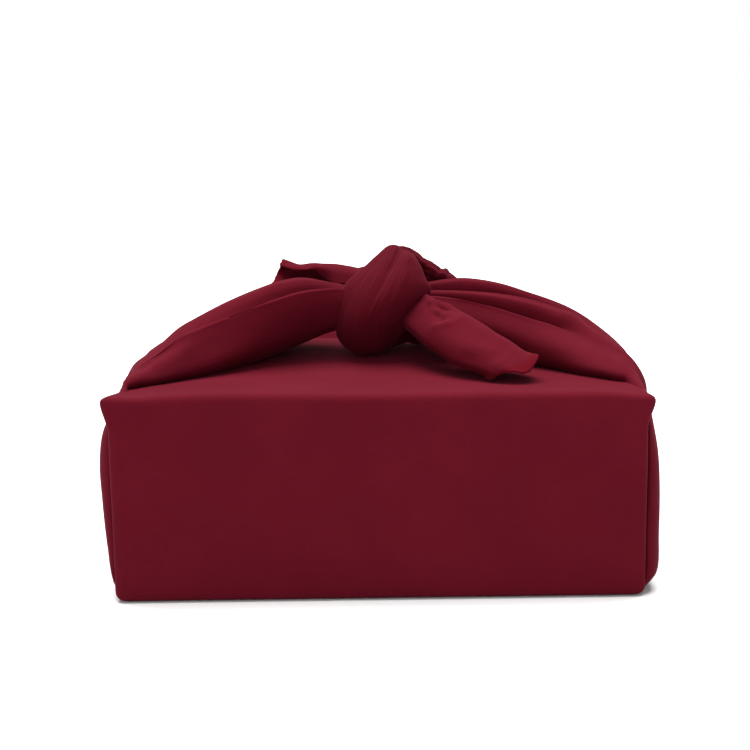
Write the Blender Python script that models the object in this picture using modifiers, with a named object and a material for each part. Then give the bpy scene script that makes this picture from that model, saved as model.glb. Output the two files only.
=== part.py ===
"""Furoshiki wrap around a plain box: one square cloth folded over a gift box,
its two side corners gathered into pleated bands and tied in a reef knot.

Frame: X to the right, Y to the back, Z up; origin at the bottom centre.
Lengths below are in millimetres and are turned into metres at the end.
"""
import math

import bmesh
import bpy
import numpy as np

# ---------------------------------------------------------------- sizes (mm)
WRAP_W, WRAP_D, WRAP_H = 250.0, 205.0, 97.0   # wrapped box, outside the cloth
EDGE_R = 7.0                                  # soft edges of the wrapped box
TOP_DROOP = 2.2                               # top flap sinks towards the front
TOP_SWELL = 6.2                               # folded layers under the knot lift the top
SIDE_PUFF = 6.5                               # side cloth stands out at mid height
EAR = 3.4                                     # dog-ears at the top corners
CLOTH_SIDE, CLOTH_TOP, CLOTH_BASE = 1.8, 2.2, 1.6
GAP = 0.3                                     # between the box and the cloth
BOX_EDGE_CLEAR = 2.0                          # the cloth stays this far off edges
VENT_W, VENT_H = 2.4, 11.0                    # open tucks at the rear corners

# Gathered bands. A row for each station along X, from the side edge of the
# box to the knot. Columns are (y, z) pairs across the band, front to back:
#   front edge | belly of the front fold | crest 1 | groove 1 | crest 2 |
#   groove 2 | crest 3 | back belly | back edge | underside
BAND_COLUMNS = ("front", "belly", "crest1", "groove1", "crest2",
                "groove2", "crest3", "rear", "back", "under")
BAND_LEFT = (
    # x      front        belly        crest1       groove1      crest2       groove2      crest3      rear        back        under
    (-126.6, (-88, 82.0), (-84, 87), (-44, 95), (-37, 92.0), (-4, 97), (9, 93.5), (44, 95), (80, 87), (88, 82), (0, 74)),
    (-121, (-93, 95.0), (-86, 101), (-44, 105), (-37, 102.5), (-4, 106), (9, 103.0), (44, 105), (80, 101), (91, 95), (0, 92)),
    (-113, (-70, 95.5), (-66, 105), (-41, 111), (-34, 108.5), (-4, 112), (9, 109.0), (40, 110), (68, 104), (76, 95), (0, 92)),
    (-104, (-55, 95.8), (-54, 107), (-36, 115), (-30, 112.5), (-4, 117), (9, 114.0), (36, 114), (57, 106), (62, 95), (0, 92)),
    (-92, (-43, 96.2), (-43, 109), (-29, 120), (-24, 117.5), (-2, 124), (10, 119.5), (29, 118), (45, 109), (49, 97), (0, 93)),
    (-79, (-32, 98.6), (-35, 111), (-24, 124.8), (-19, 122.5), (0, 130.5), (11, 125.5), (24, 123), (37, 113), (38, 101), (2, 97.5)),
    (-64, (-25, 103.0), (-29, 115), (-20, 130.2), (-15, 128.2), (3, 136.2), (12, 131.5), (21, 129), (31, 118), (30, 106), (3, 102)),
    (-49, (-21, 107.8), (-25, 119), (-17, 135.0), (-12, 133.3), (5, 140.5), (12, 136.5), (19, 133), (27, 122), (25, 111), (3, 106.5)),
    (-37, (-18, 112.0), (-22, 122), (-14, 137.2), (-9, 136.0), (5, 142.0), (11, 138.5), (17, 135), (24, 124), (21, 115), (3, 110.5)),
    (-26, (-16, 116.0), (-19, 125), (-11, 138.2), (-6, 137.2), (4, 140.5), (9, 137.5), (14, 134), (20, 126), (17, 119), (2, 115)),
    (-12, (-12, 119.0), (-14, 127), (-8, 136.0), (-4, 135.5), (3, 137.0), (7, 135.0), (10, 132), (14, 127), (12, 121), (1, 118)),
)
BAND_RIGHT = (
    (126.8, (-88, 82.0), (-84, 86), (-44, 95), (-36, 92.0), (-14, 97), (-4, 94.0), (30, 96), (80, 87), (88, 82), (0, 74)),
    (122, (-95, 94.5), (-90, 99), (-44, 104), (-36, 101.5), (-14, 106), (-4, 103.5), (30, 106), (80, 101), (91, 95), (0, 92)),
    (118, (-76, 95.0), (-72, 102), (-38, 108), (-31, 105.5), (-14, 111), (-4, 108.5), (24, 112), (70, 105), (80, 95), (0, 92)),
    (110, (-56, 95.5), (-56, 104), (-30, 111.5), (-25, 109.0), (-14, 116), (-5, 114.0), (14, 119), (56, 108), (64, 95), (0, 92)),
    (99, (-46, 96.0), (-46, 106), (-24, 116), (-20, 114.0), (-13, 123), (-5, 120.5), (8, 126), (43, 111), (50, 96), (0, 93)),
    (88, (-36, 96.8), (-38, 108), (-20, 120), (-16, 118.0), (-11, 128), (-5, 125.5), (7, 131), (34, 114), (40, 99), (0, 95)),
    (76, (-27, 100.0), (-31, 111), (-17, 124), (-13, 122.5), (-9, 132), (-4, 130.0), (7, 135.5), (28, 118), (32, 103), (2, 98.5)),
    (63, (-22, 104.0), (-26, 114), (-15, 128), (-12, 126.8), (-8, 134), (-3, 132.5), (7, 138.8), (24, 122), (27, 107), (3, 102.5)),
    (50, (-18, 108.5), (-22, 118), (-12, 131), (-10, 130.0), (-6, 135), (-2, 134.0), (6, 141), (21, 126), (23, 111), (3, 107)),
    (38, (-15, 113.0), (-18, 122), (-10, 132.5), (-8, 132.0), (-5, 135), (-1, 134.5), (5, 141), (18, 128), (19, 115), (2, 111)),
    (14, (-10, 119.0), (-12, 126), (-7, 133.0), (-5, 132.8), (-3, 134), (0, 134.0), (4, 137), (10, 129), (11, 121), (1, 118)),
)

# Strands of the knot: a row for each section along the strand, with its
# centre, the direction across its width, half its width and half its depth.
STRAND_COLUMNS = ("centre", "across", "half_width", "half_depth")
WRAP_FRONT = (
    ((22, 14, 144), (0.72, 0.10, -0.68), 11, 5.0),
    ((15, 5, 149.0), (0.80, 0.16, -0.58), 14, 5.5),
    ((9, -6, 146.5), (0.84, 0.10, -0.53), 19, 6.5),
    ((4, -13, 138), (0.86, 0.04, -0.50), 22, 8.0),
    ((-1, -15, 126), (0.88, 0.02, -0.47), 22, 8.0),
    ((-4, -11, 114), (0.92, 0.00, -0.38), 17, 7.5),
    ((-5, -2, 109), (0.97, 0.00, -0.24), 13, 6.0),
    ((-5, 8, 111), (1.00, 0.00, -0.10), 11, 5.0),
)
WRAP_REAR = (
    ((12, 2, 150), (0.60, 0.70, 0.38), 9, 4.5),
    ((21, 8, 148.5), (0.35, 0.80, 0.48), 11, 5.0),
    ((28, 13, 145), (0.30, 0.85, 0.42), 14, 6.0),
    ((28, 19, 134), (0.80, 0.45, 0.40), 17, 6.5),
    ((20, 22, 122), (0.90, 0.30, 0.30), 17, 6.5),
    ((10, 18, 112), (0.95, 0.20, 0.20), 14, 6.0),
    ((2, 8, 109), (1.00, 0.10, 0.00), 10, 5.0),
)
# The top flap's folded end, which rolls up along the back edge.
ROLLED_EDGE = (
    ((-80, 93.5, 97.2), (0, 1, 0), 4.0, 2.6),
    ((-45, 95.5, 98.4), (0, 1, 0), 5.0, 4.2),
    ((0, 96.5, 98.8), (0, 1, 0), 5.4, 5.0),
    ((45, 95.5, 98.4), (0, 1, 0), 5.0, 4.2),
    ((80, 93.5, 97.2), (0, 1, 0), 4.0, 2.6),
)
KNOT_CORE = {"centre": (4, 3, 129), "half": (23, 19, 22)}

# Free ends: folded strips, open at the end. A row for each section along the
# strip; columns give five points across the folded cloth.
TAIL_THICK = 1.8
TAIL_RIGHT = (
    # lower edge        belly            middle           ridge            turned-under edge
    ((12.4, -10, 120.7), (15, -12.5, 126), (18.5, -12.5, 130), (23, -10, 134.2), (24.5, -6, 133.5)),
    ((17.8, -21, 116.8), (18, -24, 120.5), (22, -21.5, 128.3), (26.2, -15, 134), (28, -11, 133)),
    ((24, -32, 112), (24, -35, 116), (27, -31.5, 124.5), (31.2, -22.5, 131.9), (33, -18, 130.8)),
    ((31.2, -43, 107.8), (31.5, -46, 112), (35, -41, 121.5), (38.5, -30, 130), (40.2, -26, 128.6)),
    ((38.4, -53, 104), (39.8, -56, 109), (43.5, -50.5, 118), (47, -38.5, 125.9), (48.6, -34, 124)),
    ((46.3, -60, 102), (49, -62.8, 107), (53, -57.5, 114.5), (56.7, -47.5, 119.8), (58, -43, 118)),
    ((51.8, -64.5, 100.6), (56, -68, 105), (61.5, -64, 110.3), (66.4, -55, 114.2), (67.4, -50, 112)),
    ((54.2, -67.5, 99.4), (60.5, -72.5, 102.8), (68, -74, 103.8), (78.4, -64.5, 109.3), (77.8, -60, 107.5)),
)
TAIL_LEFT = (
    ((-7.6, 14, 134.5), (-7.5, 22, 140.5), (-7.4, 19, 145), (-7.4, 14, 146.2), (-9, 7.5, 142)),
    ((-14.2, 18, 135.2), (-14.2, 28, 141.4), (-14, 25, 146), (-13.9, 19, 147.4), (-14.7, 12.5, 142.6)),
    ((-21.9, 22, 137.4), (-22, 33, 142), (-21.9, 31, 146.4), (-21.7, 24, 148.2), (-22.4, 17.5, 143.6)),
    ((-29.1, 24, 138.6), (-29.4, 36.5, 142.4), (-28.8, 34.5, 146.6), (-28.4, 28, 148.6), (-28.7, 22.5, 145.5)),
    ((-35.1, 25, 139.4), (-35.6, 38, 142.8), (-35.3, 36.5, 146.3), (-34.5, 30, 148.7), (-33.5, 24.6, 147)),
    ((-42.9, 26, 140), (-43.1, 39.5, 142.8), (-42.5, 38, 146), (-41.5, 31, 147.9), (-39.5, 25, 146.5)),
    ((-51.1, 26, 141), (-49.8, 40.5, 143.8), (-48.3, 38.5, 147.4), (-47, 31.5, 149.9), (-45.8, 25.5, 147.2)),
    ((-58.5, 26, 141.2), (-55.6, 39.5, 143.8), (-53.4, 38.5, 147.6), (-51.1, 32, 151.3), (-52.2, 27, 149)),
)


# ------------------------------------------------------------------- helpers
def smooth(t):
    t = min(max(t, 0.0), 1.0)
    return t * t * (3.0 - 2.0 * t)


def through(rows, steps, closed=False):
    """Points of a smooth (Catmull-Rom) curve through the given rows."""
    rows = np.asarray(rows, float)
    count = len(rows)
    out = []
    spans = count if closed else count - 1
    for i in range(spans):
        if closed:
            p0, p1, p2, p3 = (rows[(i + k) % count] for k in (-1, 0, 1, 2))
        else:
            p1, p2 = rows[i], rows[i + 1]
            p0 = rows[i - 1] if i else 2 * p1 - p2
            p3 = rows[i + 2] if i + 2 < count else 2 * p2 - p1
        for k in range(steps):
            t = k / steps
            out.append(0.5 * (2 * p1 + (p2 - p0) * t
                              + (2 * p0 - 5 * p1 + 4 * p2 - p3) * t * t
                              + (3 * p1 - p0 - 3 * p2 + p3) * t ** 3))
    if not closed:
        out.append(rows[-1])
    return np.array(out)


def loft(name, sections, collection, material):
    """Closed solid through rings of equal point count, capped at both ends."""
    bm = bmesh.new()
    rings = [[bm.verts.new(tuple(float(c) for c in p)) for p in ring]
             for ring in sections]
    count = len(rings[0])
    for low, high in zip(rings[:-1], rings[1:]):
        for k in range(count):
            n = (k + 1) % count
            bm.faces.new((low[k], low[n], high[n], high[k]))
    for ring in (rings[0], rings[-1]):
        bm.faces.new(ring)
    bmesh.ops.triangulate(bm, faces=[f for f in bm.faces if len(f.verts) > 3])
    bmesh.ops.recalc_face_normals(bm, faces=bm.faces)
    return finish(name, bm, collection, material)


def finish(name, bm, collection, material):
    mesh = bpy.data.meshes.new(name)
    bm.to_mesh(mesh)
    bm.free()
    obj = bpy.data.objects.new(name, mesh)
    collection.objects.link(obj)
    if material:
        mesh.materials.append(material)
    return obj


def make_material(name, colour, roughness):
    material = bpy.data.materials.new(name)
    material.use_nodes = True
    shader = material.node_tree.nodes["Principled BSDF"]
    shader.inputs["Base Color"].default_value = (*colour, 1.0)
    shader.inputs["Roughness"].default_value = roughness
    shader.inputs["Metallic"].default_value = 0.0
    return material


# --------------------------------------------------------- the wrapped body
def wrap_skin(u, v, w):
    """Outer face of the cloth for a point (u, v, w) of the cube [-1, 1]^3."""
    half = np.array((WRAP_W / 2, WRAP_D / 2, WRAP_H / 2))
    q = np.array([math.copysign(1 - (1 - abs(c)) ** 1.7, c) for c in (u, v, w)])
    p = q * half
    inner = np.clip(p, -(half - EDGE_R), half - EDGE_R)
    d = p - inner
    length = np.linalg.norm(d)
    if length > 1e-9:
        p = inner + d * (EDGE_R / length)
    x, y, z = p[0], p[1], p[2] + half[2]
    side = 1 if x > 0 else -1
    # the side cloth stands out between the crisp front and rear edges
    edge = smooth((abs(x) - 108) / 12.0)
    puff = SIDE_PUFF * edge
    puff *= smooth((half[1] - abs(y)) / 22.0)
    puff *= smooth((z - 1.0) / 30.0) * smooth((WRAP_H - z) / 34.0)
    x += side * puff
    # converging folds on the side cloth, from the lower corners to the band
    fold = math.cos(math.pi * y / (9.0 + 0.30 * (WRAP_H - z)))
    x += side * edge * 0.9 * fold * smooth((z - 18) / 50.0) * smooth((half[1] - abs(y)) / 20.0)
    # the top flap sinks a little towards the front edge and is lifted by the
    # folded layers that lie under the knot
    if z > WRAP_H / 2:
        lift = TOP_SWELL * smooth((y + 80) / 120.0) * (1 - smooth((y - 46) / 30.0)) * smooth((114 - abs(x)) / 58.0)
        z += (lift - TOP_DROOP * smooth((-y - 45) / 55.0)) * smooth((z - 80) / 14.0)
    # pointed dog-ears where the edges meet at the top
    corner = np.array((side * half[0], math.copysign(half[1], y), WRAP_H - 3))
    near = smooth(1.0 - np.linalg.norm(np.array((x, y, z)) - corner) / 17.0)
    x += side * EAR * near
    y += math.copysign(1.0, y) * 0.8 * near
    z += 1.2 * near
    return x, y, z


def wrapped_body(collection, material):
    bm = bmesh.new()
    bmesh.ops.create_cube(bm, size=2.0)
    bmesh.ops.subdivide_edges(bm, edges=bm.edges, cuts=15, use_grid_fill=True)
    for vert in bm.verts:
        vert.co = wrap_skin(*vert.co)
    bmesh.ops.triangulate(bm, faces=bm.faces)
    bmesh.ops.recalc_face_normals(bm, faces=bm.faces)
    return finish("wrapped_body", bm, collection, material)


# ------------------------------------------------------------ bands and knot
def band(name, table, collection, material):
    """Pleated band: rings across it at each station, smooth along it."""
    rows = [np.array([(x, y, z) for (y, z) in cells]).ravel()
            for x, *cells in table]
    sections = []
    for row in through(rows, 2):
        key = row.reshape(-1, 3)
        sections.append(through(key, 2, closed=True))
    return loft(name, sections, collection, material)


def strand(name, table, collection, material, sides=14):
    """Flattened strand: oval rings along the path, square to it."""
    flat = [np.concatenate((c, a, (w, d))) for c, a, w, d in table]
    rows = through(flat, 2)
    centres = rows[:, :3]
    sections = []
    for i, row in enumerate(rows):
        ahead = centres[min(i + 1, len(rows) - 1)] - centres[max(i - 1, 0)]
        ahead /= np.linalg.norm(ahead)
        across = row[3:6] - ahead * row[3:6].dot(ahead)
        across /= np.linalg.norm(across)
        out = np.cross(ahead, across)
        ring = []
        for k in range(sides):
            a = 2 * math.pi * k / sides
            c, s = math.cos(a), math.sin(a)
            ring.append(row[:3] + across * row[6] * math.copysign(abs(c) ** 0.8, c)
                        + out * row[7] * math.copysign(abs(s) ** 0.8, s))
        sections.append(ring)
    return loft(name, sections, collection, material)


def tail(name, table, collection, material, thickness=TAIL_THICK):
    """Folded strip: an open surface through the points, then Solidify."""
    rows = through([np.array(r, float).ravel() for r in table], 2)
    grid = [through(r.reshape(-1, 3), 2) for r in rows]
    bm = bmesh.new()
    verts = [[bm.verts.new(tuple(float(c) for c in p)) for p in line] for line in grid]
    for low, high in zip(verts[:-1], verts[1:]):
        for k in range(len(low) - 1):
            bm.faces.new((low[k], low[k + 1], high[k + 1], high[k]))
    bmesh.ops.recalc_face_normals(bm, faces=bm.faces)
    obj = finish(name, bm, collection, material)
    solidify = obj.modifiers.new("thickness", "SOLIDIFY")
    solidify.thickness = thickness
    solidify.offset = 0.0
    apply_modifiers(obj)
    return obj


def core(collection, material):
    bm = bmesh.new()
    bmesh.ops.create_uvsphere(bm, u_segments=14, v_segments=9, radius=1.0)
    for vert in bm.verts:
        vert.co = [c + h * v for c, h, v in zip(KNOT_CORE["centre"], KNOT_CORE["half"], vert.co)]
    bmesh.ops.triangulate(bm, faces=bm.faces)
    return finish("knot_core", bm, collection, material)


def plain_box(name, size, low, chamfer, segments, collection, material):
    """Box with softened edges, standing at height low."""
    bm = bmesh.new()
    bmesh.ops.create_cube(bm, size=1.0)
    for vert in bm.verts:
        vert.co = (vert.co.x * size[0], vert.co.y * size[1], (vert.co.z + 0.5) * size[2] + low)
    bmesh.ops.bevel(bm, geom=bm.edges[:], offset=chamfer, segments=segments,
                    profile=0.5, affect="EDGES")
    bmesh.ops.triangulate(bm, faces=bm.faces)
    return finish(name, bm, collection, material)


def apply_modifiers(obj):
    depsgraph = bpy.context.evaluated_depsgraph_get()
    depsgraph.update()
    mesh = bpy.data.meshes.new_from_object(obj.evaluated_get(depsgraph))
    obj.modifiers.clear()
    old = obj.data
    obj.data = mesh
    bpy.data.meshes.remove(old)


def combine(target, tools, operation):
    for tool in tools:
        modifier = target.modifiers.new(operation.lower(), "BOOLEAN")
        modifier.operation = operation
        modifier.solver = "EXACT"
        modifier.object = tool
        apply_modifiers(target)
        bpy.data.objects.remove(tool)


def to_metres(obj):
    bm = bmesh.new()
    bm.from_mesh(obj.data)
    bmesh.ops.scale(bm, vec=(0.001, 0.001, 0.001), verts=bm.verts)
    bmesh.ops.remove_doubles(bm, verts=bm.verts, dist=2e-6)
    bmesh.ops.triangulate(bm, faces=bm.faces)
    bm.to_mesh(obj.data)
    bm.free()


def main():
    for obj in list(bpy.data.objects):
        bpy.data.objects.remove(obj, do_unlink=True)
    parts = bpy.data.collections.new("furoshiki_wrap")
    bpy.context.scene.collection.children.link(parts)
    wine = make_material("wine_cotton", (0.120, 0.006, 0.014), 0.85)
    card = make_material("plain_card", (0.55, 0.50, 0.42), 0.75)

    cloth = wrapped_body(parts, wine)
    pieces = [
        band("band_left", BAND_LEFT, parts, wine),
        band("band_right", BAND_RIGHT, parts, wine),
        core(parts, wine),
        strand("wrap_front", WRAP_FRONT, parts, wine),
        strand("wrap_rear", WRAP_REAR, parts, wine),
        strand("rolled_edge", ROLLED_EDGE, parts, wine, sides=12),
        tail("tail_right", TAIL_RIGHT, parts, wine),
        tail("tail_left", TAIL_LEFT, parts, wine),
    ]
    combine(cloth, pieces, "UNION")

    room = (WRAP_W - 2 * CLOTH_SIDE, WRAP_D - 2 * CLOTH_SIDE, WRAP_H - CLOTH_TOP - TOP_DROOP - CLOTH_BASE)
    cavity = plain_box("cavity", room, CLOTH_BASE, 4.0, 3, parts, None)
    vents = []
    for side in (-1, 1):
        vent = plain_box(f"vent_{side}", (16.0, VENT_W, VENT_H), 74.0, 0.6, 1, parts, None)
        for vert in vent.data.vertices:
            vert.co.x += side * WRAP_W / 2
            vert.co.y += WRAP_D / 2 - 13.0
        vents.append(vent)
    combine(cloth, [cavity] + vents, "DIFFERENCE")
    cloth.name = "furoshiki"
    cloth.data.name = "furoshiki"
    to_metres(cloth)

    size = [c - 2 * GAP for c in room]
    box = plain_box("box", size, CLOTH_BASE + GAP, 4.0 + 2.2 * BOX_EDGE_CLEAR, 3, parts, card)
    to_metres(box)


main()
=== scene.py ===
"""Looks of the furoshiki wrap: one wine-red cotton cloth folded round a box,
gathered at both sides and tied in a reef knot. Lengths in the tables are
millimetres, in the part's own frame: X right, Y to the back, Z up."""

import math

import bmesh
import bpy
import numpy as np
from mathutils import Matrix, Vector, noise


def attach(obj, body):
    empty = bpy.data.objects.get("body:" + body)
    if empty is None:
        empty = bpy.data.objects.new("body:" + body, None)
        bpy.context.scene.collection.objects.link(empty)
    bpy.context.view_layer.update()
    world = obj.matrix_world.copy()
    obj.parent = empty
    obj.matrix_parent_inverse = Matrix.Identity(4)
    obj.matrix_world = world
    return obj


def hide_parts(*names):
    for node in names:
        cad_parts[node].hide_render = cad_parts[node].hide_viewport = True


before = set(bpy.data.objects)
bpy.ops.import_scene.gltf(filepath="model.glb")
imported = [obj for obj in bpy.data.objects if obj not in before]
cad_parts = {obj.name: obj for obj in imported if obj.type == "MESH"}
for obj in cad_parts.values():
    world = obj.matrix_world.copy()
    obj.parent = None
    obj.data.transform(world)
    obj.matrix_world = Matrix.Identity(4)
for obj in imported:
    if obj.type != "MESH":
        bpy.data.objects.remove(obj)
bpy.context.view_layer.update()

# ------------------------------------------------------------------ sizes
W, D, H = 250.0, 205.0, 97.0        # wrapped box
EDGE_R = 7.0
CLOTH_T = 0.55                      # one layer of the cloth, modelled


# ------------------------------------------------------------------ curves
def smooth(t):
    t = np.clip(t, 0.0, 1.0)
    return t * t * (3.0 - 2.0 * t)


def spline(points, per, closed=False, knots=None):
    """Centripetal Catmull-Rom through rows of points; per samples a span."""
    P = np.asarray(points, float)
    n = len(P)
    if closed:
        P = np.vstack([P[-1:], P, P[:2]])
    else:
        P = np.vstack([2 * P[:1] - P[1:2], P, 2 * P[-1:] - P[-2:-1]])
    if knots is None:
        step = np.linalg.norm(np.diff(P, axis=0), axis=1) ** 0.5
        step = np.maximum(step, 1e-4)
    else:
        step = np.asarray(knots, float)
        step = np.concatenate((step[:1], step, step[-1:]))
    t = np.concatenate(([0.0], np.cumsum(step)))
    out = []
    for i in range(1, len(P) - 2):
        p0, p1, p2, p3 = P[i - 1:i + 3]
        t0, t1, t2, t3 = t[i - 1:i + 3]
        m = per[i - 1] if hasattr(per, "__len__") else per
        u = t1 + (t2 - t1) * (np.arange(m) / m)[:, None]
        a1 = (t1 - u) / (t1 - t0) * p0 + (u - t0) / (t1 - t0) * p1
        a2 = (t2 - u) / (t2 - t1) * p1 + (u - t1) / (t2 - t1) * p2
        a3 = (t3 - u) / (t3 - t2) * p2 + (u - t2) / (t3 - t2) * p3
        b1 = (t2 - u) / (t2 - t0) * a1 + (u - t0) / (t2 - t0) * a2
        b2 = (t3 - u) / (t3 - t1) * a2 + (u - t1) / (t3 - t1) * a3
        out.append((t2 - u) / (t2 - t1) * b1 + (u - t1) / (t2 - t1) * b2)
    if not closed:
        out.append(P[-2:-1])
    return np.vstack(out)


def noise3(p, scale, seed=0.0):
    return noise.noise(Vector((p[0] * scale[0] + seed, p[1] * scale[1] - seed, p[2] * scale[2] + 2 * seed)))


# ------------------------------------------------------------------ meshes
def grid_mesh(name, P, close_u=False, thickness=CLOTH_T, flip=False, masks=None, crease=None):
    """Sheet from an array of points (rows along, columns across), with UVs in
    metres of cloth, thickened inwards. masks: name -> array of weights."""
    rows, cols = P.shape[:2]
    du = np.linalg.norm(np.diff(P, axis=1, append=P[:, :1]), axis=2)
    dv = np.linalg.norm(np.diff(P, axis=0), axis=2)
    u = np.concatenate((np.zeros((rows, 1)), np.cumsum(du, axis=1)), axis=1)
    u = u - u[:, cols // 2:cols // 2 + 1]
    v = np.concatenate(([0.0], np.cumsum(dv.mean(axis=1))))
    bm = bmesh.new()
    uv_layer = bm.loops.layers.uv.new("cloth")
    layers = {k: bm.verts.layers.float.new(k) for k in ("rib_and_shade", "thin_glow", "worn")}
    verts = []
    for i in range(rows):
        line = []
        for j in range(cols):
            vert = bm.verts.new(P[i, j] * 0.001)
            for key, values in (masks or {}).items():
                vert[layers[key]] = float(values[i, j])
            line.append(vert)
        verts.append(line)
    span = cols if close_u else cols - 1
    for i in range(rows - 1):
        for j in range(span):
            k = (j + 1) % cols
            quad = [(i, j, j), (i, k, j + 1), (i + 1, k, j + 1), (i + 1, j, j)]
            if flip:
                quad.reverse()
            try:
                face = bm.faces.new([verts[a][b] for a, b, _ in quad])
            except ValueError:
                continue
            face.smooth = True
            for loop, (a, _, c) in zip(face.loops, quad):
                loop[uv_layer].uv = (u[a, c] * 0.001, v[a] * 0.001)
    mesh = bpy.data.meshes.new(name)
    bm.to_mesh(mesh)
    bm.free()
    obj = bpy.data.objects.new(name, mesh)
    bpy.context.scene.collection.objects.link(obj)
    if thickness:
        mod = obj.modifiers.new("cloth", "SOLIDIFY")
        mod.thickness = thickness * 0.001
        mod.offset = -1.0
        mod.use_rim = True
    return obj


def bake_modifiers(obj):
    depsgraph = bpy.context.evaluated_depsgraph_get()
    depsgraph.update()
    mesh = bpy.data.meshes.new_from_object(obj.evaluated_get(depsgraph), preserve_all_data_layers=True, depsgraph=depsgraph)
    obj.modifiers.clear()
    old, obj.data = obj.data, mesh
    bpy.data.meshes.remove(old)


def join(objs, name):
    for obj in objs:
        bake_modifiers(obj)
    bpy.ops.object.select_all(action="DESELECT")
    for obj in objs:
        obj.select_set(True)
    bpy.context.view_layer.objects.active = objs[0]
    bpy.ops.object.join()
    out = bpy.context.view_layer.objects.active
    out.name = out.data.name = name
    out.select_set(False)
    return out


# ------------------------------------------------------------ wrapped body
def brow(x, y):
    """How far the fold at the front edge stands up, most of it at the left."""
    front = float(smooth((-y - 62) / 38.0)) * float(1 - smooth((abs(x) - 98) / 20.0))
    return (0.8 + 1.1 * math.exp(-((x + 72) / 42.0) ** 2)) * front


def swell(x, y):
    """The folded layers that lie under the knot lift the top cloth there."""
    along = float(smooth((y + 80) / 120.0)) * float(1 - smooth((y - 46) / 30.0))
    return 6.2 * along * float(smooth((114 - abs(x)) / 58.0))


def lid(x, y):
    """Height of the cloth on the box's top."""
    return H + brow(x, y) + swell(x, y) + 0.30 * noise3((x, y, 0), (0.015, 0.02, 0.02), 7.7)


# soft tension folds of the front and back panels: x0, z0, x1, z1, height, width
PULLS = ((118, 93, 66, 56, 0.55, 4.6), (114, 72, 82, 52, -0.40, 6.0), (96, 88, 58, 66, -0.22, 6.0),
         (-117, 93, -88, 66, 0.50, 4.2), (-121, 62, -98, 36, 0.34, 6.0), (-112, 86, -94, 60, -0.25, 5.0),
         (40, 60, -20, 30, 0.22, 14.0), (-60, 30, -110, 14, 0.25, 9.0), (100, 20, 60, 40, 0.20, 10.0))


def body_point(u, v, w):
    half = np.array((W / 2, D / 2, H / 2))
    q = np.array([math.copysign(1 - (1 - abs(c)) ** 1.9, c) for c in (u, v, w)])
    p = q * half
    high = float(smooth((p[2] / half[2] + 0.2) / 0.6))
    r = 5.0 - 0.8 * high - 1.0 * float(smooth((p[2] / half[2] - 0.35) / 0.5)) * float(smooth((abs(p[0]) - 98) / 18.0))
    inner = np.clip(p, -(half - r), half - r)
    d = p - inner
    length = np.linalg.norm(d)
    if length > 1e-9:
        p = inner + d * (r / length)
    x, y, z = p[0], p[1], p[2] + half[2]
    side = 1.0 if x > 0 else -1.0
    upper = float(smooth((z - 80) / 14.0))
    z += (swell(x, y) + brow(x, y)) * upper
    # the sides lean in a little towards the top
    x -= side * 0.5 * float(smooth((abs(x) - 100) / 22.0)) * float(smooth((z - 60) / 30.0))
    # dog-ears: the front and back cloth stands out in a small point at the top
    corner = np.array((side * (half[0] - 1), math.copysign(half[1] - 0.5, y), H - 2.0))
    near = float(smooth(1.0 - np.linalg.norm((np.array((x, y, z)) - corner) * (0.75, 0.50, 1.0)) / 15.0))
    x += side * 3.4 * near
    y += math.copysign(0.8, y) * near
    z += (1.4 if side < 0 else 0.4) * near
    if side > 0:
        # the cloth falls away towards the right front corner
        z -= 1.3 * float(smooth((x - 108) / 16.0)) * float(smooth((-y - 80) / 18.0)) * upper
    # slack of the front and back panels
    if abs(y) > half[1] - 9.0:
        front = math.copysign(1.0, y)
        for x0, z0, x1, z1, amp, wide in PULLS:
            a, b = np.array((x0, z0)), np.array((x1, z1))
            t = np.clip(np.dot((x, z) - a, b - a) / np.dot(b - a, b - a), 0, 1)
            dist = np.linalg.norm((x, z) - (a + t * (b - a)))
            y += front * amp * math.exp(-(dist / wide) ** 2) * (1 - 0.55 * t) * smooth(min(t, 1 - t) * 6 + 0.35)
        y += front * 0.25 * noise3((x, y, z), (0.012, 0.012, 0.02), 3.1)
    if z > 88:
        z += 0.30 * noise3((x, y, 0), (0.015, 0.02, 0.02), 7.7) * float(smooth((z - 88) / 6.0))
    return x, y, z


def body():
    """Rounded box from a subdivided cube, displaced; open only as a shell."""
    bm = bmesh.new()
    bmesh.ops.create_cube(bm, size=2.0)
    cuts = 39
    bmesh.ops.subdivide_edges(bm, edges=bm.edges, cuts=cuts, use_grid_fill=True)
    uv = bm.loops.layers.uv.new("cloth")
    for key in ("rib_and_shade", "thin_glow", "worn"):
        bm.verts.layers.float.new(key)
    where = {}
    for vert in bm.verts:
        where[vert] = body_point(*vert.co)
    for face in bm.faces:
        n = face.normal
        axis = max(range(3), key=lambda k: abs(n[k]))
        for loop in face.loops:
            x, y, z = where[loop.vert]
            a, b = (x, z) if axis == 1 else (x, y) if axis == 2 else (y, z)
            loop[uv].uv = (a * 0.001, b * 0.001)
        face.smooth = True
    for vert, p in where.items():
        vert.co = Vector(p) * 0.001
    mesh = bpy.data.meshes.new("body")
    bm.to_mesh(mesh)
    bm.free()
    obj = bpy.data.objects.new("body", mesh)
    bpy.context.scene.collection.objects.link(obj)
    mod = obj.modifiers.new("cloth", "SOLIDIFY")
    mod.thickness, mod.offset = CLOTH_T * 0.001, -1.0
    return obj


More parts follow.
